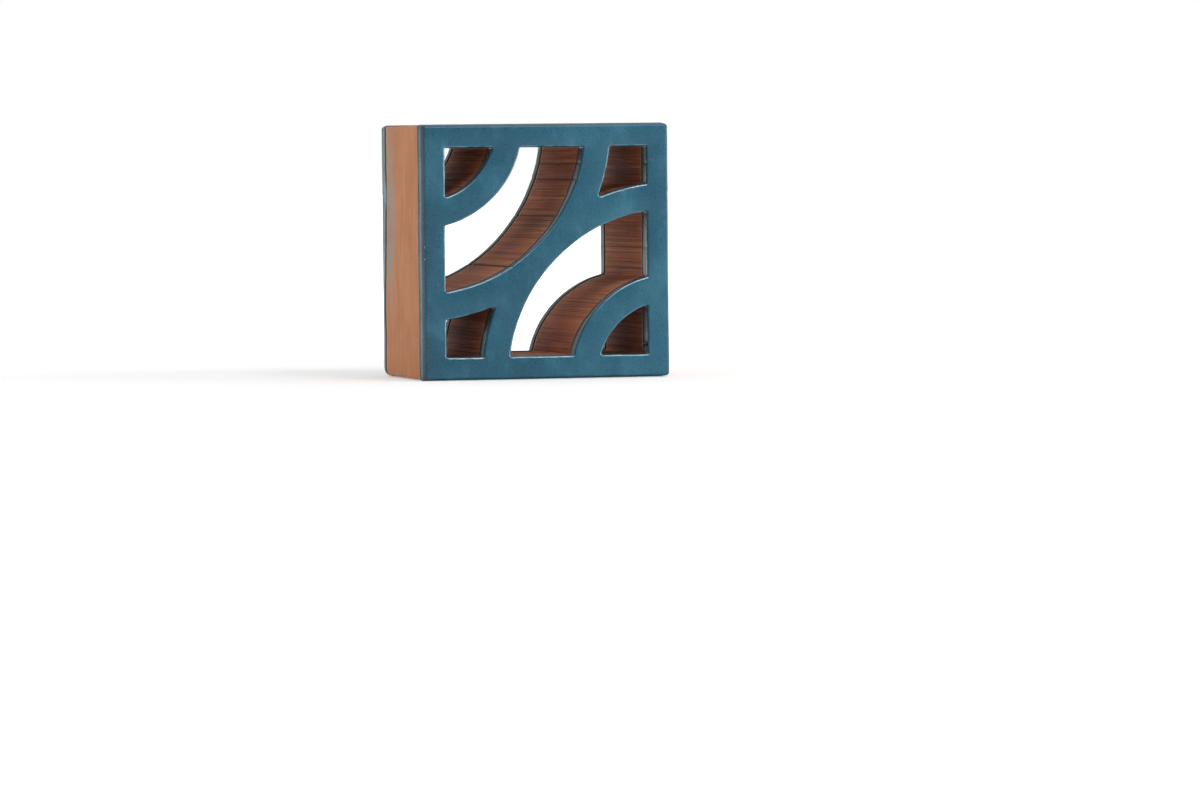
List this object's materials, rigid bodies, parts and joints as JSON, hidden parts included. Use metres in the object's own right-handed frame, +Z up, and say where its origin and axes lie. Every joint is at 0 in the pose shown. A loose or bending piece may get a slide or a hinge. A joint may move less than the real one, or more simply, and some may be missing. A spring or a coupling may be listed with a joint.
{
  "type": "breeze block",
  "caption": "Square pierced ceramic breeze block with curved ribs, crescent, quarter and pointed holes, and glazed faces.",
  "frame": {"origin": "centre of the lower bed face, the side the block stands on", "axes": "+Z up, +X to the right along the pierced face, +Y from the front pierced face to the back one"},
  "size_m": [0.2, 0.14, 0.2],
  "materials": {
    "fired_clay": "bare orange-brown fired clay with extrusion lines, on the sides and in the holes",
    "teal_glaze": "satin teal glaze on both pierced faces and a short way down every edge of them"
  },
  "bodies": {
    "root": {"breeze_block": "fired_clay"}
  },
  "joints": []
}
